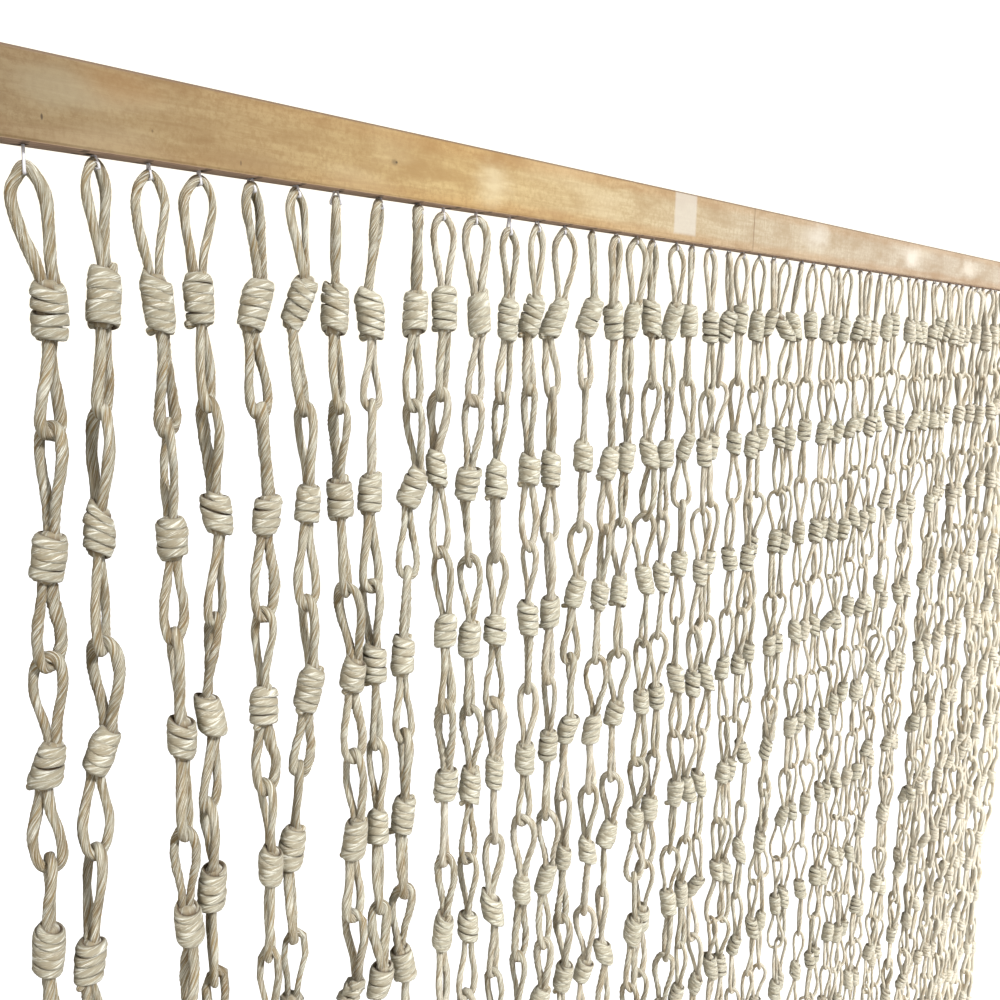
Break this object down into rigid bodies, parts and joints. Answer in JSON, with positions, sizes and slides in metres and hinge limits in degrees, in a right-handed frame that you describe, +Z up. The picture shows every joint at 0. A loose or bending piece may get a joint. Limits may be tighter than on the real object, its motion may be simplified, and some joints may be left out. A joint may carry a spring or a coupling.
{
  "type": "chain door curtain on a wooden rail",
  "caption": "Door curtain of knotted natural-fibre cord chains that hang side by side from a flat wooden rail.",
  "frame": {"origin": "centre of the rail's flat rear face, which lies on the wall or lintel that holds the curtain up", "axes": "+X along the rail, from its left end to its right end as seen from the room; +Y from the room to the wall; +Z up"},
  "size_m": [1.1697, 0.02, 1.7623],
  "materials": {
    "wood": "planed, thinly varnished",
    "fibre": "twisted dry plant fibre",
    "thread": "clear nylon thread"
  },
  "bodies": {
    "root": {"rail": "wood", "strands_left": "fibre", "strands_right": "fibre"}
  },
  "joints": []
}
